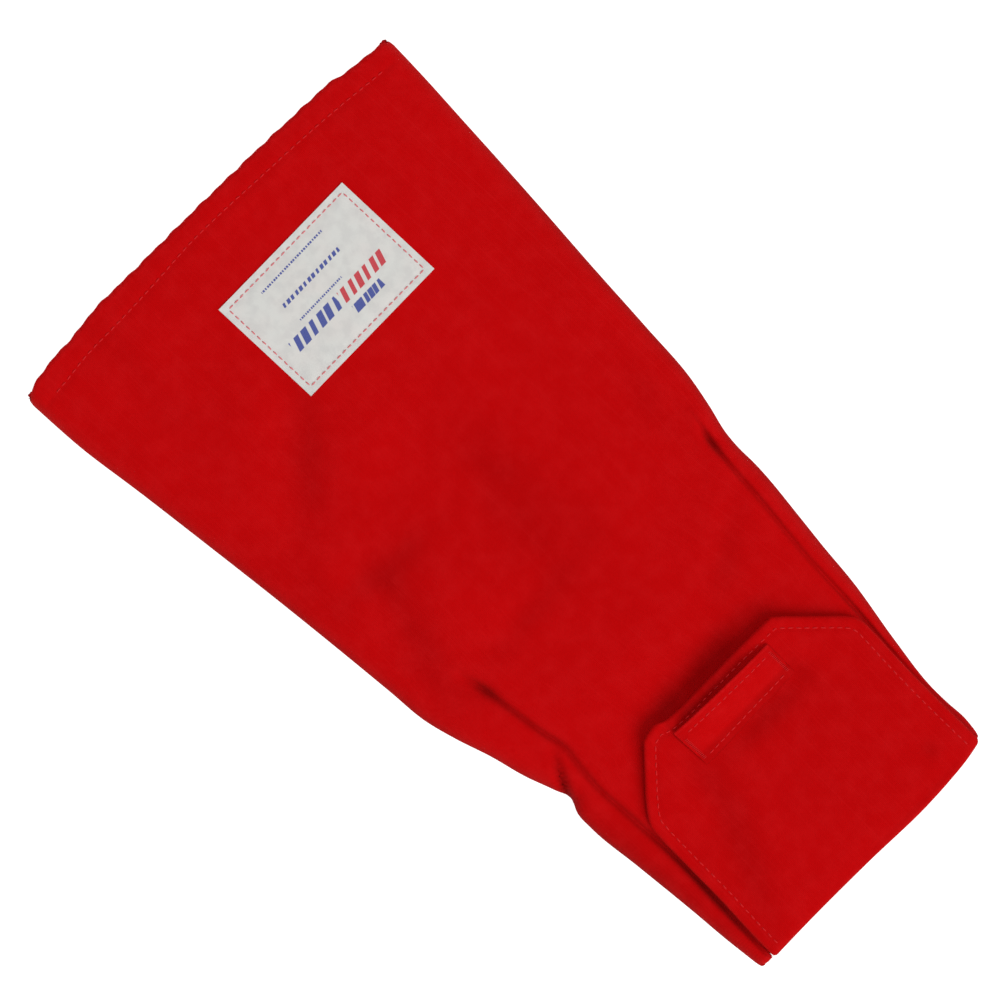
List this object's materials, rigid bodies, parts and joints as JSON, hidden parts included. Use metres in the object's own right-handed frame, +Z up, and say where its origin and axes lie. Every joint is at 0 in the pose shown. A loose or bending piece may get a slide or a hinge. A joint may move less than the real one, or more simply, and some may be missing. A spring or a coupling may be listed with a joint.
{
  "type": "protective arm sleeve",
  "caption": "Padded tapered forearm sleeve lying flat, open at elbow and wrist, with a hand guard flap folded back over its front and a finger loop on the flap.",
  "frame": {"origin": "on the surface that the sleeve lies on, under the middle of its length and width", "axes": "+X along the sleeve from the elbow opening to the wrist opening, +Y across it, +Z up out of the front"},
  "size_m": [0.4572, 0.249, 0.0376],
  "materials": {
    "red_cotton": "matte",
    "lining_cotton": "matte",
    "wadding": "matte",
    "label_tape": "satin",
    "red_thread": "satin"
  },
  "bodies": {
    "sleeve": {"front_shell": "red_cotton", "back_shell": "red_cotton", "front_insulation": "wadding", "back_insulation": "wadding", "front_lining": "lining_cotton", "back_lining": "lining_cotton", "left_side_seam": "red_thread", "right_side_seam": "red_thread", "elbow_hem_front_stitching": "red_thread", "elbow_hem_back_stitching": "red_thread", "wrist_hem_back_stitching": "red_thread", "label": "label_tape", "label_stitching": "red_thread"},
    "flap": {"flap_shell": "red_cotton", "flap_insulation": "wadding", "flap_lining": "red_cotton", "flap_topstitching": "red_thread", "finger_loop_left_tack": "red_thread", "finger_loop_right_tack": "red_thread"},
    "finger_loop": {"finger_loop": "red_cotton", "finger_loop_upper_stitching": "red_thread", "finger_loop_lower_stitching": "red_thread"}
  },
  "joints": [
    {"name": "flap_fold", "type": "hinge", "parent": "sleeve", "child": "flap", "pos_m": [0.2246, 0, 0.02015], "axis": [0, 1, 0], "range_deg": [0, 180]},
    {"name": "finger_loop_tip", "type": "hinge", "parent": "flap", "child": "finger_loop", "pos_m": [0.13665, 0, 0.02569], "axis": [0, 1, 0], "range_deg": [0, 60]}
  ]
}
